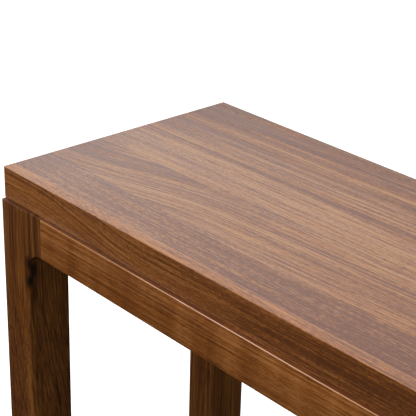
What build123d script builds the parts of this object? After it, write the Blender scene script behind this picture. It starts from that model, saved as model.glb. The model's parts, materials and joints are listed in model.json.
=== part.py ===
from build123d import *
import os

# Console table: a hollow-core walnut slab on a leg and apron base. Millimetres, +Z up.
# The origin is on the floor under the middle of the table. X is the length, Y the depth,
# and -Y the front.

# Overall
LENGTH = 1200.0  # the slab, end to end
SLAB_DEPTH = 400.0  # the slab, front to back
HEIGHT = 760.0  # floor to table top
SLAB = 45.0  # slab thickness

# Slab: veneer on two skins, a frame of rails and ribs between them, and solid lippings
VENEER = 0.6
SKIN = 6.0
LIPPING = 17.0
END_RAIL = 100.0
LONG_RAIL = 60.0
CENTRE_RIB = 70.0
SIDE_RIB = 40.0
LEAF_SEAMS = (77.0, 167.0, 246.0, 311.0)  # from the slab's front edge to each joint in the veneer
SLAB_EASE = 1.2

# Base: legs and long aprons stand proud of the slab's front and back faces
PROUD = 6.0
LEG_INSET = 1.0
LEG_LENGTH_X = 58.0
LEG_DEPTH_Y = 66.0
LEG_EASE = 1.5
APRON_HEIGHT = 57.0
APRON = 24.0  # apron thickness
APRON_EASE = 1.2
KNEE = 30.0  # knee block, from leg to apron
KNEE_DROP = 16.0  # how far its cove runs down the leg below the apron
KNEE_RECESS = 1.5
KNEE_EASE = 0.8

# Corner blocks, cross rail and fastenings
BLOCK = 22.0  # corner block thickness
BLOCK_HEIGHT = 40.0
LEG_FLAT = 12.0  # width along each face of the flat planed on a leg's inner corner
RAIL = 22.0  # cross rail width
RAIL_HEIGHT = 40.0
THREAD_GAP = 0.02  # radial gap between a thread or dowel and its hole
BOLT_RADIUS = 4.0
BOLT_BITE = 40.0
BOLT_TAIL = 4.0
BOLT_HOLE_RADIUS = 4.5
WASHER_RADIUS = 12.0
WASHER = 1.5
NUT_FLATS = 13.0
NUT = 6.5
SCREW_RADIUS = 2.5
SCREW_HEAD_RADIUS = 5.0
SCREW_HEAD = 3.0
SCREW_LENGTH = 58.0
SCREW_SPREAD = 25.0  # from a corner block's bolt to each of its screws, along X and along Y
RAIL_SCREW_PLACES = (-150.0, -55.0, 55.0, 150.0)
LONG_DOWEL_RADIUS = 5.0
LONG_DOWEL_BITE = 28.0
SHORT_DOWEL_RADIUS = 4.0
SHORT_DOWEL_BITE = 20.0
DOWEL_RISE = 14.0  # each dowel of a pair is this far from the apron's middle height

# Floor glides
GLIDE = 3.0
GLIDE_RADIUS = 14.0
GLIDE_EASE = 0.8
NAIL_RADIUS = 1.25
NAIL_LENGTH = 20.0

half_length = LENGTH / 2
half_slab = SLAB_DEPTH / 2
slab_low = HEIGHT - SLAB
leg_outer_x = half_length - LEG_INSET
leg_inner_x = leg_outer_x - LEG_LENGTH_X
leg_outer_y = half_slab + PROUD
leg_inner_y = leg_outer_y - LEG_DEPTH_Y
apron_low = slab_low - APRON_HEIGHT
apron_mid = slab_low - APRON_HEIGHT / 2
apron_end_x = leg_inner_x - KNEE
apron_inner_y = leg_outer_y - APRON
end_apron_inner_x = leg_outer_x - APRON
block_mid = slab_low - BLOCK_HEIGHT / 2

# The four corners: a name, and the sign of X and of Y there
CORNERS = {
    "front_left": (-1, -1),
    "front_right": (1, -1),
    "back_left": (-1, 1),
    "back_right": (1, 1),
}


def box_between(low, high):
    """A box between two opposite corners."""
    size = [b - a for a, b in zip(low, high)]
    middle = [(a + b) / 2 for a, b in zip(low, high)]
    return Pos(*middle) * Box(*size)


def rod(start, direction, radius, length):
    """A round rod that starts at a point and runs along a direction."""
    at = Plane(origin=start, z_dir=direction)
    return at * Cylinder(radius, length, align=(Align.CENTER, Align.CENTER, Align.MIN))


def at_corner(shape, signs):
    """A shape drawn for the back right corner, mirrored to another corner."""
    if signs[0] < 0:
        shape = mirror(shape, about=Plane.YZ)
    if signs[1] < 0:
        shape = mirror(shape, about=Plane.XZ)
    return shape


def at_all_corners(shapes):
    """Shapes drawn for the back right corner, repeated at all four."""
    return [at_corner(shape, signs) for signs in CORNERS.values() for shape in shapes]


def bored(shape, cuts):
    """A shape with every cut that meets it taken away."""
    for cut in cuts:
        shape = shape - cut
    return shape


def write(name, shapes):
    """Writes one node, of one solid or of several alike."""
    solids = [solid for shape in shapes for solid in shape.solids()]
    export_step(solids[0] if len(solids) == 1 else Compound(children=solids), f"parts/{name}.step")


# Fastenings, drawn for the back right corner. The corner block stands square to the diagonal
# that runs in from the leg's inner corner.
leg_corner = Vector(leg_inner_x, leg_inner_y, block_mid)
inward = Vector(-1, -1, 0).normalized()
flat_depth = LEG_FLAT / 2**0.5
block_outer = leg_corner - inward * flat_depth
block_inner = block_outer + inward * BLOCK


def corner_bolt():
    start = block_outer - inward * BOLT_BITE
    return rod(start, inward, BOLT_RADIUS, BOLT_BITE + BLOCK + WASHER + NUT + BOLT_TAIL)


def corner_washer():
    disc = rod(block_inner, inward, WASHER_RADIUS, WASHER)
    return disc - rod(block_inner, inward, BOLT_HOLE_RADIUS, WASHER)


def corner_nut():
    at = Plane(origin=block_inner + inward * WASHER, z_dir=inward)
    hexagon = RegularPolygon(NUT_FLATS / 2, 6, major_radius=False)
    return extrude(at * hexagon, NUT) - rod(at.origin, inward, BOLT_RADIUS + THREAD_GAP, NUT)


def screw(x, y, gap=0.0):
    """A countersunk wood screw driven up into the slab. A gap gives the hole that it fills."""
    low = slab_low - BLOCK_HEIGHT
    shank = rod((x, y, low), (0, 0, 1), SCREW_RADIUS + gap, SCREW_LENGTH + gap)
    head = Pos(x, y, low + SCREW_HEAD / 2) * Cone(
        SCREW_HEAD_RADIUS + gap, SCREW_RADIUS + gap, SCREW_HEAD
    )
    return shank + head


def block_screw_places():
    middle = (block_outer + block_inner) * 0.5
    return [
        (middle.X + SCREW_SPREAD, middle.Y - SCREW_SPREAD),
        (middle.X - SCREW_SPREAD, middle.Y + SCREW_SPREAD),
    ]


def long_dowels(gap=0.0):
    """The pair that ties an apron to its leg through the knee block."""
    length = 2 * LONG_DOWEL_BITE + KNEE
    y = leg_outer_y - APRON / 2
    x = apron_end_x - LONG_DOWEL_BITE - gap
    heights = (apron_mid - DOWEL_RISE, apron_mid + DOWEL_RISE)
    radius = LONG_DOWEL_RADIUS + gap
    return [rod((x, y, z), (1, 0, 0), radius, length + 2 * gap) for z in heights]


def short_dowels(gap=0.0):
    """The pair that ties an end apron to its leg."""
    x = leg_outer_x - APRON / 2
    y = leg_inner_y - SHORT_DOWEL_BITE - gap
    heights = (apron_mid - DOWEL_RISE, apron_mid + DOWEL_RISE)
    radius = SHORT_DOWEL_RADIUS + gap
    return [rod((x, y, z), (0, 1, 0), radius, 2 * (SHORT_DOWEL_BITE + gap)) for z in heights]


def rail_dowel(side, gap=0.0):
    """The dowel that ties one end of the cross rail to its apron."""
    bite = APRON / 2
    start = (0, side * (apron_inner_y - SHORT_DOWEL_BITE - gap), block_mid)
    length = SHORT_DOWEL_BITE + bite + 2 * gap
    return rod(start, (0, side, 0), SHORT_DOWEL_RADIUS + gap, length)


def nail(gap=0.0):
    x = leg_outer_x - LEG_LENGTH_X / 2
    y = leg_outer_y - LEG_DEPTH_Y / 2
    return rod((x, y, GLIDE / 2 - gap), (0, 0, 1), NAIL_RADIUS + gap, NAIL_LENGTH + 2 * gap)


block_screws = at_all_corners([screw(x, y) for x, y in block_screw_places()])
block_screw_holes = at_all_corners([screw(x, y, THREAD_GAP) for x, y in block_screw_places()])
rail_screws = [screw(0, y) for y in RAIL_SCREW_PLACES]
rail_screw_holes = [screw(0, y, THREAD_GAP) for y in RAIL_SCREW_PLACES]
slab_screw_holes = block_screw_holes + rail_screw_holes


# Base
def knee_block():
    """The short upright block beside a leg. A cove under it sweeps from apron to leg."""
    low = (apron_end_x, apron_inner_y, apron_low - KNEE_DROP)
    high = (leg_inner_x, leg_outer_y - KNEE_RECESS, slab_low)
    body = box_between(low, high)
    body = fillet(body.edges().filter_by(Axis.Z).group_by(Axis.Y)[-1], KNEE_EASE)
    cove = (KNEE**2 + KNEE_DROP**2) / (2 * KNEE_DROP)
    centre = (apron_end_x, apron_inner_y - 1, apron_low - cove)
    return bored(body - rod(centre, (0, 1, 0), cove, APRON + 2), long_dowels(THREAD_GAP))


def prism(offsets, low, height):
    """An upright prism whose corners are given from the leg's inner corner."""
    points = [(leg_inner_x + u, leg_inner_y + v) for u, v in offsets]
    face = make_face(Polyline(*points, close=True))
    return extrude(Pos(0, 0, low) * face, height)


def leg():
    """A square leg. Its inner corner is planed flat where the corner block bears on it."""
    low = (leg_inner_x, leg_inner_y, GLIDE)
    body = box_between(low, (leg_outer_x, leg_outer_y, slab_low))
    body = fillet(body.edges(), LEG_EASE)
    waste = [(LEG_FLAT, 0), (0, LEG_FLAT), (-LEG_FLAT, -LEG_FLAT)]
    flat = prism(waste, slab_low - BLOCK_HEIGHT, BLOCK_HEIGHT + 1)
    bolt_start = block_outer - inward * (BOLT_BITE + THREAD_GAP)
    bolt_hole = rod(bolt_start, inward, BOLT_RADIUS + THREAD_GAP, BOLT_BITE + 1)
    dowel_holes = long_dowels(THREAD_GAP) + short_dowels(THREAD_GAP)
    return bored(body, [flat, bolt_hole, nail(THREAD_GAP), *dowel_holes])


def corner_block():
    """The block across the corner, cut to meet the inner faces of both aprons."""
    reach_x = end_apron_inner_x - leg_inner_x
    reach_y = apron_inner_y - leg_inner_y
    near = LEG_FLAT
    far = LEG_FLAT - BLOCK * 2**0.5
    offsets = [
        (reach_x, near - reach_x),
        (near - reach_y, reach_y),
        (far - reach_y, reach_y),
        (reach_x, far - reach_x),
    ]
    body = prism(offsets, slab_low - BLOCK_HEIGHT, BLOCK_HEIGHT)
    bolt_hole = rod(block_outer - inward, inward, BOLT_HOLE_RADIUS, BLOCK + 2)
    holes = [screw(x, y, THREAD_GAP) for x, y in block_screw_places()]
    return bored(body, [bolt_hole, *holes])


def long_apron():
    """The back apron. It stops at the knee blocks."""
    low = (-apron_end_x, apron_inner_y, apron_low)
    body = box_between(low, (apron_end_x, leg_outer_y, slab_low))
    body = fillet(body.edges(), APRON_EASE)
    holes = long_dowels(THREAD_GAP)
    holes += [mirror(hole, about=Plane.YZ) for hole in holes] + [rail_dowel(1, THREAD_GAP)]
    return bored(body, holes)


def end_apron():
    """The right apron, between the legs and flush with their outer faces."""
    low = (end_apron_inner_x, -leg_inner_y, apron_low)
    body = box_between(low, (leg_outer_x, leg_inner_y, slab_low))
    body = fillet(body.edges(), APRON_EASE)
    holes = short_dowels(THREAD_GAP)
    holes += [mirror(hole, about=Plane.XZ) for hole in holes]
    return bored(body, holes)


def cross_rail():
    low = (-RAIL / 2, -apron_inner_y, slab_low - RAIL_HEIGHT)
    body = box_between(low, (RAIL / 2, apron_inner_y, slab_low))
    return bored(body, [rail_dowel(-1, THREAD_GAP), rail_dowel(1, THREAD_GAP), *rail_screw_holes])


def glide():
    """A moulded disc with its nail hole, flat on the floor."""
    x = leg_outer_x - LEG_LENGTH_X / 2
    y = leg_outer_y - LEG_DEPTH_Y / 2
    disc = rod((x, y, 0), (0, 0, 1), GLIDE_RADIUS, GLIDE)
    disc = fillet(disc.edges().group_by(Axis.Z)[0], GLIDE_EASE)
    return disc - nail(THREAD_GAP)


# Slab. Heights run up from the balancing veneer to the veneer on top.
skin_low = slab_low + VENEER
core_low = skin_low + SKIN
core_high = HEIGHT - VENEER - SKIN
skin_high = HEIGHT - VENEER
core_x = half_length - LIPPING
core_y = half_slab - LIPPING
rail_x = core_x - END_RAIL
rail_y = core_y - LONG_RAIL


def panel(x, y, low, high):
    """A sheet centred on the slab, given its half length and half depth."""
    return box_between((-x, -y, low), (x, y, high))


def core_piece(x0, x1, y0, y1):
    return bored(box_between((x0, y0, core_low), (x1, y1, core_high)), slab_screw_holes)


def long_lipping():
    """The back lipping, seen as a strip along the edge of the table top."""
    body = box_between((-half_length, core_y, slab_low), (half_length, half_slab, HEIGHT))
    outer = body.edges().group_by(Axis.Y)[-1]
    return fillet(outer, SLAB_EASE)


def end_lipping():
    """The right lipping, which the veneer covers above and below."""
    return box_between((core_x, -core_y, skin_low), (half_length, core_y, skin_high))


def leaves():
    """The veneer leaves of the table top, from the front lipping to the back one."""
    edges = (LIPPING, *LEAF_SEAMS, SLAB_DEPTH - LIPPING)
    for near, far in zip(edges, edges[1:]):
        low = (-half_length, near - half_slab, skin_high)
        yield box_between(low, (half_length, far - half_slab, HEIGHT))


os.makedirs("parts", exist_ok=True)

for number, leaf in enumerate(leaves(), start=1):
    write(f"top_veneer_leaf_{number}", [leaf])
write("top_skin", [panel(core_x, core_y, core_high, skin_high)])
write("bottom_skin", [bored(panel(core_x, core_y, skin_low, core_low), slab_screw_holes)])
write("balancing_veneer", [bored(panel(half_length, core_y, slab_low, skin_low), slab_screw_holes)])
write("core_rail_front", [core_piece(-rail_x, rail_x, -core_y, -rail_y)])
write("core_rail_back", [core_piece(-rail_x, rail_x, rail_y, core_y)])
write("core_rail_left", [core_piece(-core_x, -rail_x, -core_y, core_y)])
write("core_rail_right", [core_piece(rail_x, core_x, -core_y, core_y)])
write("core_rib_centre", [core_piece(-CENTRE_RIB / 2, CENTRE_RIB / 2, -rail_y, rail_y)])
rib_x = (rail_x + CENTRE_RIB / 2) / 2
for name, middle in (("core_rib_left", -rib_x), ("core_rib_right", rib_x)):
    write(name, [core_piece(middle - SIDE_RIB / 2, middle + SIDE_RIB / 2, -rail_y, rail_y)])
write("edge_lipping_front", [mirror(long_lipping(), about=Plane.XZ)])
write("edge_lipping_back", [long_lipping()])
write("edge_lipping_left", [mirror(end_lipping(), about=Plane.YZ)])
write("edge_lipping_right", [end_lipping()])

for corner, signs in CORNERS.items():
    write(f"leg_{corner}", [at_corner(leg(), signs)])
    write(f"knee_block_{corner}", [at_corner(knee_block(), signs)])
    write(f"corner_block_{corner}", [at_corner(corner_block(), signs)])
    write(f"floor_glide_{corner}", [at_corner(glide(), signs)])
write("apron_front", [mirror(long_apron(), about=Plane.XZ)])
write("apron_back", [long_apron()])
write("apron_left", [mirror(end_apron(), about=Plane.YZ)])
write("apron_right", [end_apron()])
write("cross_rail", [cross_rail()])

write("leg_bolts", at_all_corners([corner_bolt()]))
write("leg_bolt_washers", at_all_corners([corner_washer()]))
write("leg_bolt_nuts", at_all_corners([corner_nut()]))
write("corner_block_screws", block_screws)
write("cross_rail_screws", rail_screws)
write("apron_dowels", at_all_corners(long_dowels()))
write("end_apron_dowels", at_all_corners(short_dowels()))
write("cross_rail_dowels", [rail_dowel(-1), rail_dowel(1)])
write("glide_nails", at_all_corners([nail()]))
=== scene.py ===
import json
import math

import bpy
from mathutils import Matrix, Vector


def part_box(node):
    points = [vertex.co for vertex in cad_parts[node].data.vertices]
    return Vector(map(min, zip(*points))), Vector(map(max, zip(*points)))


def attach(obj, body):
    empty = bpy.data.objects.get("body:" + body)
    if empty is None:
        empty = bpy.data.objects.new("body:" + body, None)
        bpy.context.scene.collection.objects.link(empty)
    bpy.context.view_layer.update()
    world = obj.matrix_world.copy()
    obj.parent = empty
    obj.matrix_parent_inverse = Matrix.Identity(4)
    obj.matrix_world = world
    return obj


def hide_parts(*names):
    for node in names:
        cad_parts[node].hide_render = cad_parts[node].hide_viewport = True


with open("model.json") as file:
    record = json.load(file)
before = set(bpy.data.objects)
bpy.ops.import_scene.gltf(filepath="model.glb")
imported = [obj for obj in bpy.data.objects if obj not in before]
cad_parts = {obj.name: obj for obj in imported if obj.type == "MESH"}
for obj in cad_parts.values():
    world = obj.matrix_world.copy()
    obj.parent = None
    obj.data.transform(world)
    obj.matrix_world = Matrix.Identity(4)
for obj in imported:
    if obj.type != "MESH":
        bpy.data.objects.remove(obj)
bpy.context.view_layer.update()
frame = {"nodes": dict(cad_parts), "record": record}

# Walnut console table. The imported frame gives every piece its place. Metres throughout.
bpy.ops.object.select_all(action="DESELECT")

# Arrises, eased by hand with fine paper
LEG_EASE = 0.0015
APRON_EASE = 0.0012
KNEE_EASE = 0.0009
SLAB_EASE = 0.0009
LEAF_EASE = 0.0003
TOUCH = 1e-5  # two places closer than this are one
EASE_STEPS = 3
SMOOTH_ANGLE = math.radians(35)
PLANED_FLAT = 0.012  # width, along each face, of the flat on a leg's inner corner

CORNERS = {"front_left": (-1, -1), "front_right": (1, -1), "back_left": (-1, 1), "back_right": (1, 1)}
OUTWARD = {
    "front": Vector((0, -1, 0)),
    "back": Vector((0, 1, 0)),
    "left": Vector((-1, 0, 0)),
    "right": Vector((1, 0, 0)),
}
LEAVES = sorted(name for name in frame["nodes"] if name.startswith("top_veneer_leaf"))

# Walnut's range of colour, heartwood to sapwood side
DARK_WALNUT = (0.105, 0.031, 0.0125, 1)
MID_WALNUT = (0.228, 0.080, 0.025, 1)
LIGHT_WALNUT = (0.358, 0.180, 0.072, 1)

# The solid edges and the aprons are a shade redder than the veneer
RED_WALNUT = {
    "Dark Wood": (0.098, 0.032, 0.0100, 1),
    "Mid Wood": (0.226, 0.075, 0.0155, 1),
    "Light Wood": (0.37, 0.158, 0.052, 1),
}

# The legs and knees were sawn from a darker log
LEG_WALNUT = {
    "Dark Wood": (0.040, 0.0138, 0.0045, 1),
    "Mid Wood": (0.118, 0.040, 0.0105, 1),
    "Light Wood": (0.210, 0.084, 0.018, 1),
}

# One board's colour drifts between a cooler and a warmer cast
COOL_CAST = (0.97, 0.99, 1.10, 1)
WARM_CAST = (1.04, 1.0, 0.88, 1)
CAST_REACH = 1 / 6  # the noise, either side of zero, that takes the colour to a full cast

# A very dark mark turns black, as a knot's heart is, and a very light one becomes a painted highlight
KNOT_BLACK = (0.007, 0.005, 0.003, 1)
BLACK_FROM, BLACK_TO, BLACK_MOST = 0.8, 1.2, 0.9
PAINTED_HIGHLIGHT = (0.80, 0.56, 0.48, 1)  # a painted highlight, as a glossy arris shows
PALE_FROM, PALE_TO = -0.7, -1.3

# The wood's noises: how often each repeats along and across the grain, in a metre, and its detail
# and roughness
WOOD_NOISES = {
    "bands": (0.9, 34.0, 2.0, 0.6),
    "stripes": (1.2, 180.0, 3.0, 0.8),
    "lines": (4.0, 420.0, 3.0, 0.8),
    "flecks": (130.0, 520.0, 2.0, 0.8),
    "figure": (30.0, 9.0, 1.0, 0.5),
    "fibre": (22.0, 900.0, 2.0, 0.6),
    "dashes": (70.0, 1100.0, 1.0, 0.5),
    "crowding": (4.0, 80.0, 1.0, 0.5),
    "cast": (2.0, 60.0, 2.0, 0.6),
}
# A dash stronger than this opens a pore, and a weaker one does where pores crowd
PORE_LIMIT = 0.13
PORE_CROWDING = -0.5
PORE_CRISPNESS = 12.0

# How much each feature adds to the lacquer's roughness, and to the height of the surface
LACQUER_ROUGHNESS = 0.38
ROUGHENED_BY = {"pore": 0.15, "lines": 0.25, "fibre": 0.2, "end": 0.12}
RAISED_BY = {"fibre": 0.8, "lines": 0.5, "pore": -0.5}
END_GRAIN_DARK = 0.12
RELIEF_DEPTH = 0.0004

WOOD_IOR = 1.45
LACQUER_IOR = 1.5
LACQUER_GLOSS = 0.25  # the clear coat's roughness

ENDLESS = 10.0  # the size of a mark that runs right through a board


# ---------------------------------------------------------------- shader helpers

def feed(tree, socket, value):
    """Gives an input socket a value, or links the output that feeds it."""
    if isinstance(value, bpy.types.NodeSocket):
        tree.links.new(value, socket)
    else:
        socket.default_value = value


def node(tree, kind, inputs=None, **settings):
    """A shader node with its settings and inputs."""
    made = tree.nodes.new(kind)
    for name, value in settings.items():
        setattr(made, name, value)
    for name, value in (inputs or {}).items():
        feed(tree, made.inputs[name], value)
    return made


def use_group(tree, group, inputs):
    """A node group placed in a tree with its own values. Gives its outputs."""
    return node(tree, "ShaderNodeGroup", inputs, node_tree=group).outputs


def maths(tree, operation, *values, clamp=False):
    """A Math node's output."""
    made = node(tree, "ShaderNodeMath", dict(enumerate(values)), operation=operation, use_clamp=clamp)
    return made.outputs[0]


def times(tree, value, factor):
    """A value times a factor."""
    return maths(tree, "MULTIPLY", value, factor)


def total(tree, first, *others):
    """The sum of several values."""
    for other in others:
        first = maths(tree, "ADD", first, other)
    return first


def weighted(tree, start, values, weights):
    """A start value plus each named value times its weight."""
    return total(tree, start, *(times(tree, values[name], weight) for name, weight in weights.items()))


def vectors(tree, operation, *values):
    """A Vector Math node's output."""
    made = node(tree, "ShaderNodeVectorMath", dict(enumerate(values)), operation=operation)
    return made.outputs["Value" if operation in ("LENGTH", "DOT_PRODUCT") else "Vector"]


def split(tree, vector):
    """A vector's X, Y and Z outputs."""
    return node(tree, "ShaderNodeSeparateXYZ", {"Vector": vector}).outputs


def swing(tree, vector, stretch, detail=2.0, roughness=0.5):
    """A noise about zero. The stretch is how often it repeats along each axis, per metre."""
    inputs = {"Vector": vectors(tree, "MULTIPLY", vector, stretch), "Scale": 1.0}
    inputs.update({"Detail": detail, "Roughness": roughness})
    fac = node(tree, "ShaderNodeTexNoise", inputs).outputs["Fac"]
    return maths(tree, "SUBTRACT", fac, 0.5)


def remap(tree, value, low, high, to_low=0.0, to_high=1.0, kind="LINEAR"):
    """Stretches a value from one range to another, and holds it at the ends."""
    inputs = {"Value": value, "From Min": low, "From Max": high, "To Min": to_low, "To Max": to_high}
    return node(tree, "ShaderNodeMapRange", inputs, interpolation_type=kind).outputs["Result"]


def blend(tree, mode, factor, below, above):
    """A colour mix."""
    made = node(tree, "ShaderNodeMix", data_type="RGBA", blend_type=mode)
    for socket, value in zip((made.inputs[0], made.inputs[6], made.inputs[7]), (factor, below, above)):
        feed(tree, socket, value)
    return made.outputs[2]


SOCKET_KINDS = {1: "Float", 3: "Vector", 4: "Color"}  # by how many numbers a value has


def new_group(name, inputs, outputs):
    """A shader node group with named sockets. Gives the group, its inputs and its outputs."""
    group = bpy.data.node_groups.new(name, "ShaderNodeTree")
    for label, value in inputs.items():
        kind = SOCKET_KINDS[1 if isinstance(value, float) else len(value)]
        socket = group.interface.new_socket(name=label, in_out="INPUT", socket_type="NodeSocket" + kind)
        socket.default_value = value
    for label, kind in outputs.items():
        group.interface.new_socket(name=label, in_out="OUTPUT", socket_type="NodeSocket" + kind)
    start = group.nodes.new("NodeGroupInput")
    end = group.nodes.new("NodeGroupOutput")
    return group, start.outputs, end.inputs


# ---------------------------------------------------------------- wood

# Each board is thought of in its own axes: X along the grain, Y and Z across it.
BOARD_AXES = {"X": ("X", "Y", "Z"), "Y": ("Y", "X", "Z"), "Z": ("Z", "X", "Y")}


def make_flow_group():
    """Wandering grain: bends a board's axes, so that every mark in the wood flows together. From its
    start, the grain drifts by a slope and rises once, over the rise's length."""
    group, given, out = new_group(
        "flowing_grain",
        {
            "Vector": (0, 0, 0),
            "Seed": (0, 0, 0),
            "Across": (0, 1, 1),
            "Wander": 0.006,
            "Ripple": 0.0012,
            "Slope": 0.0,
            "Rise": 0.0,
            "Start": 0.0,
            "Rise Length": 1.0,
        },
        {"Vector": "Vector"},
    )
    seeded = vectors(group, "ADD", given["Vector"], given["Seed"])
    along = maths(group, "SUBTRACT", split(group, given["Vector"])["X"], given["Start"])
    rise = remap(group, along, 0.0, given["Rise Length"], 0.0, given["Rise"], "SMOOTHSTEP")
    wander = times(group, swing(group, seeded, (1.7, 7.0, 7.0), 1.0), given["Wander"])
    ripple = times(group, swing(group, seeded, (9.0, 50.0, 50.0)), given["Ripple"])
    drift = total(group, times(group, along, given["Slope"]), rise)
    shift = maths(group, "SUBTRACT", total(group, wander, ripple), drift)
    bend = node(group, "ShaderNodeCombineXYZ", {"Y": shift, "Z": shift}).outputs[0]
    bend = vectors(group, "MULTIPLY", bend, given["Across"])
    feed(group, out["Vector"], vectors(group, "ADD", given["Vector"], bend))
    return group


def make_ring_group():
    """Growth rings about a heart line that runs along the board. The log's taper brings them to the
    face as tall arches. Gives how late in its year the wood is."""
    group, given, out = new_group(
        "growth_rings",
        {
            "Vector": (0, 0, 0),
            "Heart Y": 0.0,
            "Heart Z": -0.1,
            "Ring Width": 0.005,
            "Taper": 0.02,
        },
        {"Late": "Float"},
    )
    parts = split(group, given["Vector"])
    spoke = node(
        group,
        "ShaderNodeCombineXYZ",
        {
            "Y": maths(group, "SUBTRACT", parts["Y"], given["Heart Y"]),
            "Z": maths(group, "SUBTRACT", parts["Z"], given["Heart Z"]),
        },
    ).outputs[0]
    radius = total(group, vectors(group, "LENGTH", spoke), times(group, parts["X"], given["Taper"]))
    number = maths(group, "DIVIDE", radius, given["Ring Width"])
    # Some rings are narrow and some wide
    unevenness = {"W": times(group, number, 0.31), "Scale": 1.0}
    uneven = node(group, "ShaderNodeTexNoise", unevenness, noise_dimensions="1D").outputs["Fac"]
    number = total(group, number, times(group, uneven, 1.8))
    # The wood darkens slowly through a year and ends sharply
    season = maths(group, "FRACT", number)
    rise = maths(group, "POWER", season, 2.4)
    fall = remap(group, season, 0.88, 1.0, 1.0, 0.0, "SMOOTHSTEP")
    # Some years are darker than others
    year = {"W": maths(group, "FLOOR", number)}
    strength = node(group, "ShaderNodeTexWhiteNoise", year, noise_dimensions="1D").outputs["Value"]
    strength = maths(group, "MULTIPLY_ADD", strength, 0.8, 0.2)
    feed(group, out["Late"], times(group, times(group, rise, fall), strength))
    return group


def make_mark_group():
    """One mark in the wood, such as a streak, an eye or a knot's heart. It has a place and a size
    along each of the board's axes. A high sharpness gives it a clear edge, and patchiness breaks it
    up."""
    group, given, out = new_group(
        "grain_mark",
        {
            "Vector": (0, 0, 0),
            "Place": (0, 0, 0),
            "Size": (1, 1, 1),
            "Strength": 0.3,
            "Sharpness": 1.0,
            "Patchiness": 0.0,
        },
        {"Mark": "Float"},
    )
    away = vectors(group, "SUBTRACT", given["Vector"], given["Place"])
    away = vectors(group, "DIVIDE", away, given["Size"])
    spread = maths(group, "POWER", vectors(group, "DOT_PRODUCT", away, away), given["Sharpness"])
    bell = maths(group, "EXPONENT", times(group, spread, -1.0))
    patches = times(group, swing(group, given["Vector"], (5.0, 40.0, 40.0)), given["Patchiness"])
    strength = times(group, maths(group, "MULTIPLY_ADD", patches, 4.0, 1.0), given["Strength"])
    feed(group, out["Mark"], times(group, bell, strength))
    return group


def make_wood_group(rings):
    """Sawn and sanded wood: its colour, roughness and relief, from the board's own axes."""
    group, given, out = new_group(
        "sawn_wood",
        {
            "Vector": (0, 0, 0),
            "Seed": (0, 0, 0),
            "Tone": 0.5,
            "Bands": 0.8,
            "Stripes": 0.7,
            "Lines": 1.8,
            "Flecks": 0.3,
            "Figure": 0.15,
            "Pores": 0.3,
            "Rings": 0.0,
            "Heart Y": 0.0,
            "Heart Z": -0.1,
            "Ring Width": 0.005,
            "Taper": 0.02,
            "Mark": 0.0,
            "End Grain": 0.0,
            "Dark Wood": DARK_WALNUT,
            "Mid Wood": MID_WALNUT,
            "Light Wood": LIGHT_WALNUT,
        },
        {"Color": "Color", "Roughness": "Float", "Height": "Float"},
    )
    ring_inputs = ("Vector", "Heart Y", "Heart Z", "Ring Width", "Taper")
    late = use_group(group, rings, {name: given[name] for name in ring_inputs})["Late"]
    seeded = vectors(group, "ADD", given["Vector"], given["Seed"])
    seen = {
        name: swing(group, seeded, (along, across, across), detail, roughness)
        for name, (along, across, detail, roughness) in WOOD_NOISES.items()
    }
    limit = maths(group, "MULTIPLY_ADD", seen["crowding"], PORE_CROWDING, PORE_LIMIT)
    opened = maths(group, "SUBTRACT", seen["dashes"], limit)
    seen["pore"] = maths(group, "MULTIPLY", opened, PORE_CRISPNESS, clamp=True)
    seen["end"] = given["End Grain"]

    # The tone is 0 in the darkest wood and 1 in the lightest
    lighter = {name.lower(): given[name] for name in ("Bands", "Stripes", "Lines", "Flecks", "Figure")}
    lighter["fibre"] = times(group, given["Lines"], 0.5)
    darker = total(
        group,
        times(group, late, given["Rings"]),
        times(group, seen["pore"], given["Pores"]),
        times(group, seen["end"], END_GRAIN_DARK),
        given["Mark"],
    )
    tone = maths(group, "SUBTRACT", weighted(group, given["Tone"], seen, lighter), darker, clamp=True)
    lower = blend(group, "MIX", remap(group, tone, 0.0, 0.5), given["Dark Wood"], given["Mid Wood"])
    colour = blend(group, "MIX", remap(group, tone, 0.5, 1.0), lower, given["Light Wood"])
    cast = remap(group, seen["cast"], -CAST_REACH, CAST_REACH)
    colour = blend(group, "MULTIPLY", 1.0, colour, blend(group, "MIX", cast, COOL_CAST, WARM_CAST))
    black = remap(group, given["Mark"], BLACK_FROM, BLACK_TO, 0.0, BLACK_MOST)
    colour = blend(group, "MIX", black, colour, KNOT_BLACK)
    # A very light mark becomes a pale pink painted highlight
    pale = remap(group, given["Mark"], PALE_FROM, PALE_TO)
    colour = blend(group, "MIX", pale, colour, PAINTED_HIGHLIGHT)
    rough = weighted(group, LACQUER_ROUGHNESS, seen, ROUGHENED_BY)
    height = weighted(group, 0.0, seen, RAISED_BY)
    feed(group, out["Color"], colour)
    feed(group, out["Roughness"], rough)
    feed(group, out["Height"], height)
    return group


flowing_grain = make_flow_group()
growth_rings = make_ring_group()
grain_mark = make_mark_group()
sawn_wood = make_wood_group(growth_rings)


def mark(place, size, strength, sharpness=1.0, patchiness=0.5, straight=False):
    """One mark's values, in its board's axes. The strength darkens, or lightens below zero. A straight
    mark doesn't follow the grain's bends."""
    values = {"Place": place, "Size": size, "Strength": strength}
    values.update({"Sharpness": sharpness, "Patchiness": patchiness})
    return straight, values


def shade(place, size, strength, sharpness=1.0, patchiness=0.2):
    """A mark that stays put where the grain bends past it."""
    return mark(place, size, strength, sharpness, patchiness, straight=True)


def streak(across, width, strength, sharpness=1.0, patchiness=0.6):
    """A streak along a face whose breadth is the board's Y."""
    return mark((0, across, 0), (ENDLESS, width, ENDLESS), strength, sharpness, patchiness)


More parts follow.
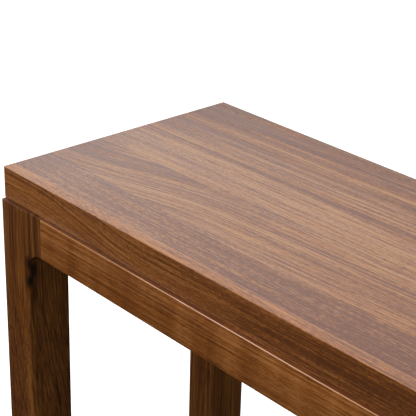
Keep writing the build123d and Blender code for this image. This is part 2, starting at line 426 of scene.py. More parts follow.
def wood(name, grain, seed, marks=(), flow=None, relief=0.2, coat=0.2, shine=0.5, **look):
    """A lacquered wooden finish for one piece. The grain is the axis that it runs along, the look is
    the wood group's own values, and the relief, the coat and the shine are the surface's."""
    material = bpy.data.materials.new(name)
    material.use_nodes = True
    tree = material.node_tree
    shader = tree.nodes["Principled BSDF"]
    place = node(tree, "ShaderNodeTexCoord")
    parts = split(tree, place.outputs["Object"])
    axes = {name: parts[axis] for name, axis in zip("XYZ", BOARD_AXES[grain])}
    board = node(tree, "ShaderNodeCombineXYZ", axes).outputs[0]
    flow = use_group(tree, flowing_grain, {"Vector": board, "Seed": seed, **(flow or {})})["Vector"]
    marked = 0.0
    for straight, values in marks:
        inputs = {"Vector": board if straight else flow, **values}
        one = use_group(tree, grain_mark, inputs)["Mark"]
        marked = maths(tree, "ADD", one, marked)
    # A face that is square to the grain shows end grain
    facing = maths(tree, "ABSOLUTE", split(tree, place.outputs["Normal"])[grain])
    cut = remap(tree, facing, 0.6, 0.85)
    grown = {"Vector": flow, "Seed": seed, "Mark": marked, "End Grain": cut, **look}
    surface = use_group(tree, sawn_wood, grown)
    raised = {"Height": surface["Height"], "Strength": relief, "Distance": RELIEF_DEPTH}
    bump = node(tree, "ShaderNodeBump", raised)
    feed(tree, shader.inputs["Base Color"], surface["Color"])
    feed(tree, shader.inputs["Roughness"], surface["Roughness"])
    feed(tree, shader.inputs["Normal"], bump.outputs["Normal"])
    shader.inputs["IOR"].default_value = WOOD_IOR
    shader.inputs["Specular IOR Level"].default_value = shine
    shader.inputs["Coat Weight"].default_value = coat
    shader.inputs["Coat Roughness"].default_value = LACQUER_GLOSS
    shader.inputs["Coat IOR"].default_value = LACQUER_IOR
    return material


# ---------------------------------------------------------------- modelling helpers

def select_only(piece):
    """Selects one piece and makes it the active one."""
    bpy.ops.object.select_all(action="DESELECT")
    piece.select_set(True)
    bpy.context.view_layer.objects.active = piece


def in_place(piece, name):
    """Names a piece and puts its place, turn and size into its mesh."""
    piece.name = piece.data.name = name
    select_only(piece)
    bpy.ops.object.transform_apply(location=True, rotation=True, scale=True)
    return piece


def apply_modifier(piece, kind, **settings):
    """Adds a modifier and applies it."""
    modifier = piece.modifiers.new(kind.lower(), kind)
    for name, value in settings.items():
        setattr(modifier, name, value)
    select_only(piece)
    bpy.ops.object.modifier_apply(modifier=modifier.name)


def carve(piece, cutter, operation="DIFFERENCE"):
    """Cuts a piece with another, which is used up."""
    apply_modifier(piece, "BOOLEAN", operation=operation, object=cutter)
    bpy.data.objects.remove(cutter)


def smooth(piece):
    """Shades a piece smooth, apart from its sharp edges."""
    select_only(piece)
    bpy.ops.object.shade_smooth_by_angle(angle=SMOOTH_ANGLE)
    return piece


def finish_piece(piece, material, slot, *nodes):
    """Gives a modelled piece its material and its place in the frame, and hides the nodes it stands for."""
    piece.data.materials.clear()
    piece.data.materials.append(material)
    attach(piece, "root")
    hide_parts(*nodes)


def cuboid(name, low, high):
    """A plain box between two corners, ready to be shaped."""
    low, high = Vector(low), Vector(high)
    bpy.ops.object.select_all(action="DESELECT")
    bpy.ops.mesh.primitive_cube_add(size=1, location=(low + high) / 2)
    piece = bpy.context.object
    piece.scale = high - low
    return in_place(piece, name)


def ease_all(piece, ease, chosen=None):
    """Rounds a box's arrises: all of them, or those whose middle is chosen."""
    select_only(piece)
    bpy.ops.object.mode_set(mode="EDIT")
    bpy.ops.mesh.select_mode(type="EDGE")
    bpy.ops.mesh.select_all(action="SELECT" if chosen is None else "DESELECT")
    bpy.ops.object.mode_set(mode="OBJECT")
    if chosen is not None:
        points = piece.data.vertices
        for edge in piece.data.edges:
            edge.select = chosen((points[edge.vertices[0]].co + points[edge.vertices[1]].co) / 2)
    bpy.ops.object.mode_set(mode="EDIT")
    bpy.ops.mesh.bevel(offset=ease, segments=EASE_STEPS, affect="EDGES")
    bpy.ops.object.mode_set(mode="OBJECT")
    return smooth(piece)


def node_board(node_name, ease, chosen=None):
    """A board the size of its CAD node, with eased arrises."""
    return ease_all(cuboid("walnut_" + node_name, *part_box(node_name)), ease, chosen)


def turned(name, outline, sides=32):
    """A turned piece on the Z axis, drawn up from a disc. The outline is (radius, height) pairs."""
    radius, height = outline[0]
    bpy.ops.object.select_all(action="DESELECT")
    bpy.ops.mesh.primitive_circle_add(
        vertices=sides, radius=radius, fill_type="NGON", location=(0, 0, height)
    )
    piece = in_place(bpy.context.object, name)
    bpy.ops.object.mode_set(mode="EDIT")
    bpy.ops.mesh.select_all(action="SELECT")
    for next_radius, next_height in outline[1:]:
        rise = {"value": (0, 0, next_height - height)}
        bpy.ops.mesh.extrude_region_move(TRANSFORM_OT_translate=rise)
        size = next_radius / radius
        bpy.ops.transform.resize(value=(size, size, 1), center_override=(0, 0, next_height))
        radius, height = next_radius, next_height
    bpy.ops.mesh.select_all(action="SELECT")
    bpy.ops.mesh.normals_make_consistent(inside=False)
    bpy.ops.object.mode_set(mode="OBJECT")
    return smooth(piece)


def copied(piece, name, place, direction=(0, 0, 1)):
    """A copy with its own mesh. Its foot goes to a place, and its length along a direction."""
    twin = piece.copy()
    twin.data = piece.data.copy()
    bpy.context.scene.collection.objects.link(twin)
    turn = Vector(direction).to_track_quat("Z", "Y").to_matrix().to_4x4()
    twin.matrix_world = Matrix.Translation(place) @ turn
    return in_place(twin, name)


def solid_middles(node_name):
    """The middle of each separate solid in a CAD node, read from a merged copy."""
    twin = frame["nodes"][node_name].copy()
    twin.data = twin.data.copy()
    twin.parent = None
    bpy.context.scene.collection.objects.link(twin)
    select_only(twin)
    bpy.ops.object.mode_set(mode="EDIT")
    bpy.ops.mesh.select_all(action="SELECT")
    bpy.ops.mesh.remove_doubles(threshold=1e-6)
    bpy.ops.mesh.separate(type="LOOSE")
    bpy.ops.object.mode_set(mode="OBJECT")
    middles = []
    for part in list(bpy.context.selected_objects):
        corners = [Vector(corner) for corner in part.bound_box]
        middles.append((corners[0] + corners[6]) / 2)
        bpy.data.objects.remove(part)
    return sorted(middles, key=lambda m: tuple(round(c, 4) for c in m))


# ---------------------------------------------------------------- table top

slab_low, slab_high = Vector(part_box("edge_lipping_front")[0]), Vector(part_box("edge_lipping_back")[1])
FRONT = slab_low.y
LEFT = slab_low.x
TOP = slab_high.z
ON_TOP = {"Across": (0, 1, 0)}  # the grain bends in the plane of the top
ON_FRONT = {"Across": (0, 0, 1)}  # the grain bends in the plane of the front
LEAN = 0.026  # how far the veneer's lines drift back for each metre along the table


def from_front(distance):
    """How far back a streak lies, in the frame, from its distance behind the front edge."""
    return FRONT + distance


def at_point(right, back):
    """A point on the table top, by its distance from the left end and from the front."""
    return (LEFT + right, FRONT + back, TOP)


LEAF_FLOW = {**ON_TOP, "Start": LEFT, "Slope": LEAN, "Wander": 0.003}
FINE_LINES = {"Bands": 0.4, "Stripes": 2.2, "Lines": 3.9, "Flecks": 1.8, "Pores": 0.2}
# Painted shade: every leaf is darkened towards the table's left end
LEFT_END_PAINTED_SHADE = shade((LEFT, 0, TOP), (0.055, ENDLESS, ENDLESS), 0.3)  # the top is duller at its left end

# How each leaf's lines run, and the marks that it was chosen for
LEAF_LOOKS = (
    {
        "seed": (0.3, 0.11, 0),
        "flow": LEAF_FLOW,
        "look": {
            "Tone": 0.37,
            "Bands": 0.2,
            "Stripes": 1.1,
            "Lines": 3.3,
            "Flecks": 2.5,
            "Pores": 0.3,
            "Mid Wood": (0.214, 0.084, 0.036, 1),
            "Light Wood": (0.345, 0.178, 0.085, 1),
        },
        "marks": [
            shade(at_point(0.45, 0.0735), (0.2, 0.0035, ENDLESS), -0.35, 1.0, 0.5),
            mark(at_point(0.64, 0.040), (0.22, ENDLESS, ENDLESS), 0.28, 1.0, 0.2),
        ],
    },
    {
        "seed": (1.3, 0.2, 0),
        "flow": {**LEAF_FLOW, "Slope": 0.05, "Wander": 0.004, "Rise": 0.05, "Rise Length": 0.3},
        "look": {**FINE_LINES, "Tone": 0.63, "Bands": 0.5, "Lines": 4.2, "Pores": 0.15},
        "marks": [
            streak(from_front(0.135), 0.030, 0.38, 3.0, 0.3),
            streak(from_front(0.107), 0.0018, 0.45, 1.0, 0.3),
            streak(from_front(0.119), 0.0018, 0.25),
            streak(from_front(0.098), 0.003, -0.15),
            streak(from_front(0.070), 0.0026, 0.4, 1.0, 0.3),
            shade(at_point(0.63, 0.137), (0.13, 0.040, ENDLESS), 0.42, 1.0, 0.3),
        ],
    },
    {
        "seed": (2.1, 0.33, 0),
        "flow": {**LEAF_FLOW, "Wander": 0.004},
        "look": {**FINE_LINES, "Tone": 0.66, "Bands": 0.5, "Stripes": 2.0, "Lines": 4.2, "Flecks": 2.1},
        "marks": [
            mark(at_point(0.165, 0.222), (0.018, 0.0022, ENDLESS), 0.45),
            mark(at_point(0.257, 0.198), (0.022, 0.0026, ENDLESS), 0.4),
            shade(at_point(0.37, 0.238), (0.09, 0.012, ENDLESS), -0.35, 1.0, 0.3),
        ],
    },
    {
        "seed": (0.9, 0.47, 0),
        "flow": LEAF_FLOW,
        "look": {**FINE_LINES, "Tone": 0.43, "coat": 0.1},
        "marks": [
            streak(from_front(0.248), 0.0055, 0.26),
            streak(from_front(0.2845), 0.003, 0.26),
            streak(from_front(0.303), 0.0035, 0.34),
            streak(from_front(0.267), 0.010, -0.2),
        ],
    },
    {
        "seed": (3.3, 0.6, 0),
        "flow": LEAF_FLOW,
        "look": {**FINE_LINES, "Tone": 0.38, "Bands": 0.3, "coat": 0.0},
        "marks": [
            streak(from_front(0.362), 0.012, 0.3, 1.5, 0.3),
            streak(from_front(0.359), 0.0035, 0.25, 1.5, 0.3),
            streak(from_front(0.383), 0.01, 0.15, 1.5, 0.3),
            streak(from_front(0.342), 0.004, 0.1),
            streak(from_front(0.319), 0.009, -0.14),
            shade(at_point(0.47, 0.322), (0.09, 0.011, ENDLESS), 0.55, 1.0, 0.3),
        ],
    },
)


def make_leaves():
    """The veneer leaves. Only their outer upper arrises are eased: between leaves the joint is tight."""
    for leaf, choice in zip(LEAVES, LEAF_LOOKS):
        marks = choice["marks"] + [LEFT_END_PAINTED_SHADE]
        finish = wood("finish_" + leaf, "X", choice["seed"], marks, choice["flow"], **choice["look"])
        board = node_board(leaf, LEAF_EASE, lambda at: abs(at.x) > abs(LEFT) - TOUCH and at.z > TOP - TOUCH)
        finish_piece(board, finish, "walnut_veneer", leaf)


def on_edge(right, down):
    """A point on the slab's front edge, by its distance from the left end and from the top."""
    return (LEFT + right, FRONT, TOP - down)


# The front edge has an arch in its grain near the left end and darkens to the right, partly in its
# own tone and partly as painted shade. Where it shows on top of the table it is paler.
FRONT_EDGE_MARKS = [
    mark(on_edge(0.467, 0.006), (0.014, ENDLESS, 0.003), 0.3),
    # Partly the wood's tone, partly painted shade: the front edge darkens towards its right end
    mark(on_edge(0.85, 0), (0.40, ENDLESS, ENDLESS), 0.42, 1.0, 0.2),
    shade(on_edge(0.1, 0), (0.42, ENDLESS, 0.0012), -0.25),
    shade(on_edge(0.17, 0.004), (0.06, ENDLESS, 0.005), 0.3, 1.0, 0.5),
    shade(on_edge(0.40, 0.007), (0.06, ENDLESS, 0.007), 0.28, 1.0, 0.5),
    shade(on_edge(0.70, 0), (0.34, ENDLESS, 0.0012), -0.16),
    shade(on_edge(0.62, 0.014), (0.18, ENDLESS, 0.012), 0.3, 2.0),
]
FRONT_EDGE_ARCH = {
    **ON_FRONT,
    "Start": LEFT + 0.06,
    "Slope": 0.01,
    "Wander": 0.003,
    "Rise": -0.03,
    "Rise Length": 0.24,
}
EDGE_LOOK = {"Bands": 0.3, "Stripes": 1.3, "Lines": 3.3, "Flecks": 1.9, "Pores": 0.4, **RED_WALNUT}
# Each edge's grain, seed, flow, marks, tone and clear coat
EDGES = {
    "front": ("X", (0.2, 0.6, 0.4), FRONT_EDGE_ARCH, FRONT_EDGE_MARKS, 0.61, 0.5),
    "back": ("X", (1.2, 0.9, 0.1), {"Slope": 0.03, "Wander": 0.004}, (), 0.2, 0.0),
    "left": ("Y", (0.7, 0.3, 0.2), {"Wander": 0.004}, (), 0.45, 0.2),
    "right": ("Y", (2.2, 0.5, 0.3), {"Wander": 0.004}, (), 0.45, 0.2),
}


def make_lippings():
    """The solid edges round the slab, with their outer arrises eased."""
    for side, (grain, seed, flow, marks, tone, coat) in EDGES.items():
        name = "edge_lipping_" + side
        outer = OUTWARD[side]
        finish = wood("finish_" + name, grain, seed, marks, flow, coat=coat, Tone=tone, **EDGE_LOOK)
        reach = max(outer.dot(corner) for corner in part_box(name))
        board = node_board(name, SLAB_EASE, lambda at: outer.dot(at) > reach - TOUCH)
        finish_piece(board, finish, "walnut_lipping", name)


# ---------------------------------------------------------------- base

APRON_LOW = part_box("apron_front")[0].z
APRON_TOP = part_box("apron_front")[1].z
APRON_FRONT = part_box("apron_front")[0].y


APRON_LOOK = {"Tone": 0.6, "Bands": 0.35, "Lines": 2.2, "Flecks": 1.0, "Figure": 0.8, **RED_WALNUT}
APRON_SURFACE = {"shine": 0.35, "coat": 0.1}
APRON_FLOW = {**ON_FRONT, "Wander": 0.006, "Ripple": 0.002, "Slope": 0.02}
# The front apron's dark and light bars: from the left end, how wide and how strong
APRON_BARS = (
    (0.155, 0.008, 0.12),
    (0.262, 0.016, 0.15),
    (0.344, 0.014, 0.15),
    (0.369, 0.007, -0.14),
    (0.394, 0.013, 0.17),
)


def make_aprons():
    """The four aprons, darker at the foot. The front one is figured: its bars lie across the grain.
    Its upper arris has a painted highlight, with a painted shadow line behind it."""
    bars = [
        mark((LEFT + along, APRON_FRONT, 0), (breadth, ENDLESS, ENDLESS), strength, 1.0, 0.0)
        for along, breadth, strength in APRON_BARS
    ]
    foot = mark((0, APRON_FRONT, APRON_LOW), (ENDLESS, ENDLESS, 0.008), 0.22)
    # Painted shadow: a dark line on the apron's top, just behind its front arris and under the slab's edge
    ledge_shadow = shade((0, APRON_FRONT + 0.004, APRON_TOP), (ENDLESS, 0.003, 0.0006), 0.55, 2.0, 0.0)
    # Painted highlight: a pale pink line along the front apron's upper arris
    arris = shade((LEFT + 0.45, APRON_FRONT, APRON_TOP), (0.38, 0.0008, 0.0008), -2.0, 1.0, 0.0)
    looks = {
        "front": ("X", (0.7, 0.2, 0.3), bars + [foot, ledge_shadow, arris]),
        "back": ("X", (2.4, 0.8, 0.1), [foot]),
        "left": ("Y", (1.1, 0.5, 0.6), [foot]),
        "right": ("Y", (3.2, 0.1, 0.8), [foot]),
    }
    for side, (grain, seed, marks) in looks.items():
        name = "apron_" + side
        finish = wood("finish_" + name, grain, seed, marks, APRON_FLOW, **APRON_SURFACE, **APRON_LOOK)
        finish_piece(node_board(name, APRON_EASE), finish, "walnut_apron", name)


def plane_flat(piece, corner):
    """Planes the flat on a leg's inner corner that its corner block bears on."""
    side_x, side_y = CORNERS[corner]
    low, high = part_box("leg_" + corner)
    inner = Vector((low.x if side_x > 0 else high.x, low.y if side_y > 0 else high.y, 0))
    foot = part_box("corner_block_" + corner)[0].z
    reach = 2 * PLANED_FLAT
    bpy.ops.object.select_all(action="DESELECT")
    bpy.ops.mesh.primitive_cube_add(size=1, location=(inner.x, inner.y, foot + 0.5))
    cutter = bpy.context.object
    cutter.scale = (PLANED_FLAT * math.sqrt(2), reach * 2, 1)
    cutter.rotation_euler.z = math.radians(45 if side_x * side_y > 0 else -45)
    carve(piece, in_place(cutter, "waste"))


def knot(place):
    """A small knot on a leg's side: two black hearts and a smudge in a brown collar, with a pale
    swirl behind them and a tail below."""
    height, x, y = place
    parts = (  # up, back, tall, deep, strength
        (0.002, 0.008, 0.009, 0.0050, 1.35),
        (-0.013, 0.001, 0.008, 0.0055, 1.4),
        (0.014, 0.001, 0.009, 0.0045, 1.1),
        (-0.003, 0.007, 0.026, 0.014, 0.4),
        (0.006, 0.021, 0.008, 0.005, -0.25),
        (-0.030, 0.006, 0.020, 0.007, 0.35),
    )
    return [
        shade((height + up, x, y + back), (tall, 0.006, deep), strength, 1.3, 0.8)
        for up, back, tall, deep, strength in parts
    ]


LEG_SURFACE = {"coat": 0.0, "shine": 0.2}
# Where the log's heart runs: inside a leg's inner face, and back from its front, less for each leg
HEART_INSET = 0.012
HEART_BACK, HEART_STEP = 0.039, 0.004
LEG_LOOK = {"Bands": 0.8, "Lines": 2.3, "Pores": 0.15, "Rings": 0.4, "Taper": 0.045, **LEG_WALNUT}
# Part of the way down the front left leg the grain swings over towards the front
SWINGING = {"Across": (0, 0.4, 1), "Wander": 0.006, "Rise": -0.03, "Start": 0.30, "Rise Length": 0.32}


def front_left_marks():
    """The marks on the front left leg, in its own axes: up, along the table, and back."""
    low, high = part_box("leg_front_left")
    inner, outer, front, top = high.x, low.x, low.y, high.z
    return [
        shade((0, inner, front), (ENDLESS, 0.015, 0.006), -0.17, 6.0),  # a paler strip at the arris
        mark((0, inner, front + 0.010), (ENDLESS, 0.004, 0.012), -0.2, 6.0, 0.2),
        mark((0, outer, front), (ENDLESS, 0.004, 0.006), 0.35, 2.0, 0.2),
        mark((top - 0.038, outer + 0.036, front), (0.009, 0.004, 0.006), 0.45, 1.0, 0.3),
        mark((0, inner, front + 0.053), (ENDLESS, 0.006, 0.0035), 0.5, 1.5, 0.3),
        mark((0.435, inner, front + 0.0385), (0.02, 0.006, 0.004), -0.35, 1.5, 0.3),
        *knot((0.625, inner, front)),
    ]


def make_legs():
    """The four legs, sawn near the heart, so that the rings arch up their faces."""
    for count, (corner, (side_x, _)) in enumerate(CORNERS.items()):
        name = "leg_" + corner
        low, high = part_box(name)
        inner = high.x if side_x < 0 else low.x
        marked = corner == "front_left"
        back = low.y + HEART_BACK - HEART_STEP * count
        heart = {"Heart Y": inner + side_x * HEART_INSET, "Heart Z": back}
        finish = wood(
            "finish_" + name,
            "Z",
            (0.5 * count, 0.1, 0.37 * count),
            front_left_marks() if marked else (),
            SWINGING if marked else {"Wander": 0.006},
            Tone=0.6 if corner == "back_left" else 0.5,
            **heart,
            **LEG_SURFACE,
            **LEG_LOOK,
        )
        leg = node_board(name, LEG_EASE)
        plane_flat(leg, corner)
        finish_piece(smooth(leg), finish, "walnut_leg", name)


COVE_SIDES = 160
KNEE_LOOK = {"Tone": 0.38, "Bands": 0.8, "Lines": 2.0, **LEG_WALNUT}
# A knee's upright streaks: from its left side, how wide and how strong
KNEE_STREAKS = ((0.003, 0.0025, 0.3), (0.009, 0.003, -0.2), (0.018, 0.005, 0.25), (0.027, 0.003, -0.2))


def knee_block(corner):
    """A knee block, its underside hollowed in one sweep from the apron down to the leg."""
    name = "knee_block_" + corner
    low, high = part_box(name)
    leg_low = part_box("leg_" + corner)[0]
    drop = APRON_LOW - low.z
    length = high.x - low.x
    cove = (length**2 + drop**2) / (2 * drop)  # the radius of the arc that spans both
    apron_side = low.x if leg_low.x > low.x else high.x
    piece = ease_all(cuboid("walnut_" + name, low, high), KNEE_EASE)
    bpy.ops.object.select_all(action="DESELECT")
    bpy.ops.mesh.primitive_cylinder_add(
        vertices=COVE_SIDES,
        radius=cove,
        depth=3 * (high.y - low.y),
        location=(apron_side, (low.y + high.y) / 2, APRON_LOW - cove),
        rotation=(math.pi / 2, 0, 0),
    )
    carve(piece, in_place(bpy.context.object, "waste"))
    return smooth(piece)


def make_knees():
    """The four knee blocks, one beside each leg under the long aprons. Their grain runs upright."""
    for count, corner in enumerate(CORNERS):
        name = "knee_block_" + corner
        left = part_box(name)[0].x
        marks = [
            mark((0, left + along, 0), (ENDLESS, breadth, ENDLESS), strength, 1.5, 0.3)
            for along, breadth, strength in KNEE_STREAKS
        ]
        seed = (0.3 * count, 0.4, 0.2 + 0.1 * count)
        finish = wood("finish_" + name, "Z", seed, marks, **LEG_SURFACE, **KNEE_LOOK)
        finish_piece(knee_block(corner), finish, "walnut_leg", name)


make_leaves()
make_lippings()
make_aprons()
make_legs()
make_knees()


# ---------------------------------------------------------------- timbers inside, metal and plastic

def make_speckle_group():
    """Fine speckle, as in pressed board, plating or moulded plastic."""
    group, given, out = new_group(
        "fine_speckle", {"Vector": (0, 0, 0), "Grain": 0.001}, {"Speckle": "Float", "Height": "Float"}
    )
    often = maths(group, "DIVIDE", 1.0, given["Grain"])
    sample = {"Vector": given["Vector"], "Scale": often, "Detail": 4.0, "Roughness": 0.65}
    fac = node(group, "ShaderNodeTexNoise", sample).outputs["Fac"]
    feed(group, out["Speckle"], remap(group, fac, 0.3, 0.7))
    feed(group, out["Height"], fac)
    return group


fine_speckle = make_speckle_group()


def speckled(name, dark, light, grain, roughness, metallic=0.0, relief=0.1):
    """A finish that varies by a fine speckle."""
    material = bpy.data.materials.new(name)
    material.use_nodes = True
    tree = material.node_tree
    shader = tree.nodes["Principled BSDF"]
    place = node(tree, "ShaderNodeTexCoord").outputs["Object"]
    fine = use_group(tree, fine_speckle, {"Vector": place, "Grain": grain})
    colour = blend(tree, "MIX", fine["Speckle"], (*dark, 1), (*light, 1))
    feed(tree, shader.inputs["Base Color"], colour)
    low, high = roughness
    feed(tree, shader.inputs["Roughness"], remap(tree, fine["Speckle"], 0.0, 1.0, low, high))
    bump = node(tree, "ShaderNodeBump", {"Height": fine["Height"], "Strength": relief, "Distance": grain})
    feed(tree, shader.inputs["Normal"], bump.outputs["Normal"])
    shader.inputs["Metallic"].default_value = metallic
    return material


PALE_TIMBER = {
    "Dark Wood": (0.26, 0.15, 0.065, 1),
    "Mid Wood": (0.45, 0.29, 0.14, 1),
    "Light Wood": (0.6, 0.43, 0.24, 1),
}


def pale_timber(name, grain, seed):
    """The unstained timber of the parts that stay out of sight."""
    look = {"Tone": 0.4, "Bands": 0.6, "Lines": 0.8, "Rings": 0.3, **PALE_TIMBER}
    return wood(name, grain, seed, relief=0.25, **look)


def grain_of(node_name):
    """The grain runs along the longest side of a piece."""
    low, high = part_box(node_name)
    size = high - low
    return "XYZ"[max(range(3), key=lambda i: size[i])]


zinc = speckled("zinc_plate", (0.42, 0.41, 0.38), (0.66, 0.65, 0.61), 0.0006, (0.25, 0.42), 1.0)
moulded = speckled("glide_plastic", (0.012, 0.011, 0.010), (0.035, 0.032, 0.029), 0.0008, (0.4, 0.6))
pressed = speckled("pressed_board", (0.20, 0.12, 0.055), (0.38, 0.26, 0.14), 0.0012, (0.6, 0.8))
underside = wood(
    "finish_balancing_veneer", "X", (5, 0.3, 0), (), {"Slope": 0.01}, Tone=0.45, Bands=0.9, Lines=1.0
)


def finish_inner_nodes():
    """Gives the CAD nodes that stay their finishes."""
    plain_slots = {"balancing_veneer": underside, "skin_board": pressed, "zinc_steel": zinc}
    for count, row in enumerate(frame["record"]["subparts"]):
        name, slot = row["node"], row["material_slot"]
        if slot in plain_slots:
            finish = plain_slots[slot]
        elif slot in ("core_timber", "block_timber", "beech_dowel"):
            finish = pale_timber("finish_" + name, grain_of(name), (0.4 * count, 0.2, 0.1))
        else:
            continue
        part = frame["nodes"][name]
        part.data.materials.clear()
        part.data.materials.append(finish)


finish_inner_nodes()


# ---------------------------------------------------------------- fastenings and glides

BOLT_RADIUS = 0.004
BOLT_PITCH = 0.00125
BOLT_GROOVE = 0.0006
BOLT_THREAD = 0.022  # how much of the bolt is threaded
BOLT_CHAMFER = 0.001
NUT_FLATS = 0.013
NUT = 0.0065
NUT_CHAMFER = 0.0007
NUT_BORE = BOLT_RADIUS + 0.00002
SCREW_RADIUS = 0.0025
SCREW_PITCH = 0.0022
SCREW_GROOVE = 0.0008
SCREW_SHANK = 0.015  # the plain stretch under the head
SCREW_TIP = 0.006
SCREW_POINT = 0.0003  # the point's radius
SCREW_HEAD_RADIUS = 0.005
SCREW_HEAD = 0.003
BLADE_WIDE = 0.0036  # the driver bit's blade, at the head and at its end
BLADE_NARROW = 0.0006
BLADE_RISE = 0.0014
BLADE_THIN = 0.22  # a blade's thickness as a share of its width
GLIDE_RADIUS = 0.014
GLIDE_RIM = ((0.0012, 0), (0.0005, 0.0002), (0.0, 0.0009))  # inward and upward
GLIDE_EYE = ((0.0042, -0.001), (0.0042, 0.0006), (0.0032, 0.0015))  # radius and height
BORE_PAST = 0.001  # how far a cutter reaches past the face that it cuts


def thread(radius, start, end, pitch, depth):
    """The outline of a thread, as a row of V grooves."""
    outline = []
    for turn in range(int((end - start) / pitch)):
        low = start + turn * pitch
        outline += [(radius, low + 0.2 * pitch), (radius - depth, low + 0.6 * pitch)]
    return outline + [(radius, end)]


def inward_from(point):
    """The level direction at 45 degrees from a corner towards the middle of the table."""
    return Vector((-math.copysign(1, point.x), -math.copysign(1, point.y), 0)).normalized()


def make_bolts():
    """Hanger bolts across the corners, threaded where the nut runs."""
    low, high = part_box("leg_bolts")
    middles = solid_middles("leg_bolts")
    # A bolt lies at 45 degrees, so its length comes from how far apart two bolts' far ends are
    span = high.x - low.x
    spacing = max(m.x for m in middles) - min(m.x for m in middles)
    length = (span - spacing) * math.sqrt(2) - 2 * BOLT_RADIUS
    foot = [(BOLT_RADIUS - BOLT_CHAMFER, 0), (BOLT_RADIUS, BOLT_CHAMFER)]
    end = length - BOLT_CHAMFER
    grooves = thread(BOLT_RADIUS, length - BOLT_THREAD, end, BOLT_PITCH, BOLT_GROOVE)
    tip = [(BOLT_RADIUS - BOLT_CHAMFER, length)]
    model = turned("bolt", foot + grooves + tip, 24)
    for count, middle in enumerate(middles, start=1):
        inward = inward_from(middle)
        bolt = copied(model, "leg_bolt_%d" % count, middle - inward * length / 2, inward)
        finish_piece(smooth(bolt), zinc, "zinc_steel", "leg_bolts")
    bpy.data.objects.remove(model)


def make_nuts():
    """Hexagon nuts with turned chamfers."""
    across = NUT_FLATS / math.cos(math.radians(30)) / 2
    face = NUT_FLATS / 2 - 0.0002
    clear = across + 0.0001
    crown = [(face, 0), (clear, NUT_CHAMFER), (clear, NUT - NUT_CHAMFER), (face, NUT)]
    model = turned("nut", [(across, 0), (across, NUT)], 6)
    carve(model, turned("crown", crown, 64), "INTERSECT")
    carve(model, turned("bore", [(NUT_BORE, -BORE_PAST), (NUT_BORE, NUT + BORE_PAST)], 32))
    for count, middle in enumerate(solid_middles("leg_bolt_nuts"), start=1):
        inward = inward_from(middle)
        nut = copied(model, "leg_bolt_nut_%d" % count, middle - inward * NUT / 2, inward)
        finish_piece(smooth(nut), zinc, "zinc_steel", "leg_bolt_nuts")
    bpy.data.objects.remove(model)


def cross_blade(turn):
    """One tapered blade of a cross-shaped driver bit."""
    bpy.ops.object.select_all(action="DESELECT")
    bpy.ops.mesh.primitive_cone_add(
        vertices=4, radius1=BLADE_WIDE, radius2=BLADE_NARROW, depth=BLADE_WIDE, location=(0, 0, BLADE_RISE)
    )
    blade = bpy.context.object
    blade.rotation_euler.z = math.radians(45)
    in_place(blade, "blade")
    blade.scale = (1, BLADE_THIN, 1)
    blade.rotation_euler.z = turn
    return in_place(blade, "blade")


def make_screws():
    """Countersunk wood screws with a cross recess, driven up into the slab."""
    for node_name in ("corner_block_screws", "cross_rail_screws"):
        low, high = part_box(node_name)
        length = high.z - low.z
        head = [(SCREW_HEAD_RADIUS, 0), (SCREW_RADIUS, SCREW_HEAD)]
        start, end = SCREW_HEAD + SCREW_SHANK, length - SCREW_TIP
        grooves = thread(SCREW_RADIUS, start, end, SCREW_PITCH, SCREW_GROOVE)
        model = turned("screw", head + grooves + [(SCREW_POINT, length)], 24)
        for turn in (0, math.pi / 2):
            carve(model, cross_blade(turn))
        for count, middle in enumerate(solid_middles(node_name), start=1):
            name = node_name.removesuffix("s") + "_%d" % count
            screw = copied(model, name, (middle.x, middle.y, low.z))
            finish_piece(smooth(screw), zinc, "zinc_steel", node_name)
        bpy.data.objects.remove(model)


def make_glides():
    """Moulded glides: a rounded rim, and a sunk eye for the nail."""
    for corner in CORNERS:
        name = "floor_glide_" + corner
        low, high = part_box(name)
        middle = (low + high) / 2
        thick = high.z - low.z
        rim = [(GLIDE_RADIUS - drop, rise) for drop, rise in GLIDE_RIM]
        model = turned("moulded_" + name, rim + [(GLIDE_RADIUS, thick)], 64)
        carve(model, turned("eye", GLIDE_EYE, 48))
        glide = copied(model, "glide_" + corner, (middle.x, middle.y, low.z))
        bpy.data.objects.remove(model)
        finish_piece(smooth(glide), moulded, "glide_plastic", name)


make_bolts()
make_nuts()
make_screws()
make_glides()


# ---------------------------------------------------------------- studio

FLOOR_SIZE = 60.0
FLOOR_SEEN = (0.9, 0.9, 0.9, 1)
FLOOR_AS_LIGHT = (0.16, 0.15, 0.14, 1)
FLOOR_IN_GLOSS = (0.02, 0.018, 0.016, 1)
FLOOR_GLOW = 0.72

WALLS_IN_GLOSS = (1.0, 0.985, 0.98, 1)
WALLS_GLOSS_GAIN = 0.34
WALLS_LIGHT_LOSS = -0.7

WARM = (1.0, 0.94, 0.87)
WHITE = (1.0, 1.0, 1.0)
SUNLIT = (0.98, 1.06, 0.88)
# Each lamp's place, aim, size, power and colour, and whether it shows in gloss
LAMPS = {
    "key": ((-1.5, -2.7, 3.2), (-0.3, 0, 0.6), (2.6, 2.6), 96, WARM, False),
    "overhead": ((0.6, 0.1, 2.4), (0.3, 0.1, 0.7), (1.4, 1.0), 18, WHITE, True),
    "right_fill": ((2.6, -1.3, 1.1), (-0.2, 0, 0.5), (1.6, 1.6), 21, SUNLIT, False),
    "back_fill": ((-0.6, 3.2, 1.2), (-0.3, 0, 0.5), (1.6, 1.2), 22, WHITE, False),
}

CAMERA_PLACE = Vector((0.7222, -1.0439, 1.4255))
CAMERA_HEADING = math.radians(137.428)  # round from +X
CAMERA_TILT = math.radians(-23.085)
CAMERA_ROLL = math.radians(1.472)
CAMERA_LENS = 108.909
CAMERA_SHIFT = -0.1


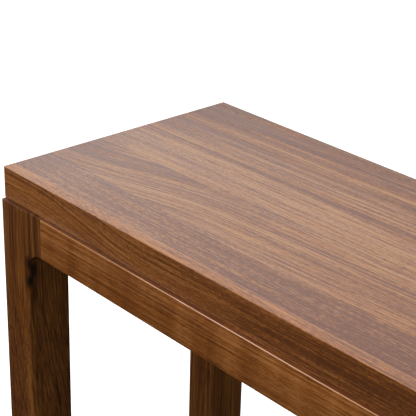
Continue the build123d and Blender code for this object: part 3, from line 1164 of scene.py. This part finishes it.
def make_floor():
    """A white sweep. To everything but the camera it is dim, so that it doesn't light the table from
    below more than a studio floor would."""
    bpy.ops.object.select_all(action="DESELECT")
    bpy.ops.mesh.primitive_plane_add(size=FLOOR_SIZE, location=(0, 0, 0))
    floor = bpy.context.object
    floor.name = "studio_floor"
    material = bpy.data.materials.new("studio_floor")
    material.use_nodes = True
    tree = material.node_tree
    shader = tree.nodes["Principled BSDF"]
    path = node(tree, "ShaderNodeLightPath").outputs
    dim = blend(tree, "MIX", path["Is Glossy Ray"], FLOOR_AS_LIGHT, FLOOR_IN_GLOSS)
    tint = blend(tree, "MIX", path["Is Camera Ray"], dim, FLOOR_SEEN)
    feed(tree, shader.inputs["Base Color"], tint)
    feed(tree, shader.inputs["Emission Color"], (1, 1, 1, 1))
    feed(tree, shader.inputs["Emission Strength"], times(tree, path["Is Camera Ray"], FLOOR_GLOW))
    shader.inputs["Roughness"].default_value = 0.9
    shader.inputs["Specular IOR Level"].default_value = 0.0
    floor.data.materials.append(material)


def softbox(name, place, aim, size, power, colour, mirrored):
    """A soft lamp. It shows in gloss only where it is mirrored."""
    data = bpy.data.lights.new(name, "AREA")
    data.shape = "RECTANGLE"
    data.size, data.size_y = size
    data.energy = power
    data.color = colour
    lamp = bpy.data.objects.new(name, data)
    bpy.context.scene.collection.objects.link(lamp)
    lamp.visible_glossy = mirrored
    lamp.location = place
    lamp.rotation_euler = (Vector(aim) - Vector(place)).to_track_quat("-Z", "Y").to_euler()


def make_world():
    """White walls all round: bright in reflections, soft as a fill light."""
    world = bpy.data.worlds.new("studio")
    bpy.context.scene.world = world
    world.use_nodes = True
    tree = world.node_tree
    path = node(tree, "ShaderNodeLightPath").outputs
    backdrop = tree.nodes["Background"]
    colour = blend(tree, "MIX", path["Is Glossy Ray"], (*WHITE, 1), WALLS_IN_GLOSS)
    feed(tree, backdrop.inputs["Color"], colour)
    changes = {"Is Glossy Ray": WALLS_GLOSS_GAIN, "Is Diffuse Ray": WALLS_LIGHT_LOSS}
    strength = weighted(tree, 1.0, path, changes)
    feed(tree, backdrop.inputs["Strength"], strength)


def make_camera():
    """The camera stands off the table's right half, in front of it and above it, and looks at its
    front left corner."""
    ahead = math.cos(CAMERA_TILT)
    forward = Vector(
        (ahead * math.cos(CAMERA_HEADING), ahead * math.sin(CAMERA_HEADING), math.sin(CAMERA_TILT))
    )
    level = forward.cross(Vector((0, 0, 1))).normalized()
    upright = level.cross(forward)
    right = level * math.cos(CAMERA_ROLL) + upright * math.sin(CAMERA_ROLL)
    up = upright * math.cos(CAMERA_ROLL) - level * math.sin(CAMERA_ROLL)
    data = bpy.data.cameras.new("camera")
    data.sensor_width = 36.0
    data.lens = CAMERA_LENS
    data.shift_y = CAMERA_SHIFT
    data.clip_end = 100.0
    camera = bpy.data.objects.new("camera", data)
    turn = Matrix((right, up, -forward)).transposed().to_4x4()
    camera.matrix_world = Matrix.Translation(CAMERA_PLACE) @ turn
    bpy.context.scene.collection.objects.link(camera)
    bpy.context.scene.camera = camera


make_floor()
make_world()
for lamp_name, values in LAMPS.items():
    softbox(lamp_name, *values)
make_camera()
bpy.context.scene.view_settings.view_transform = "Standard"
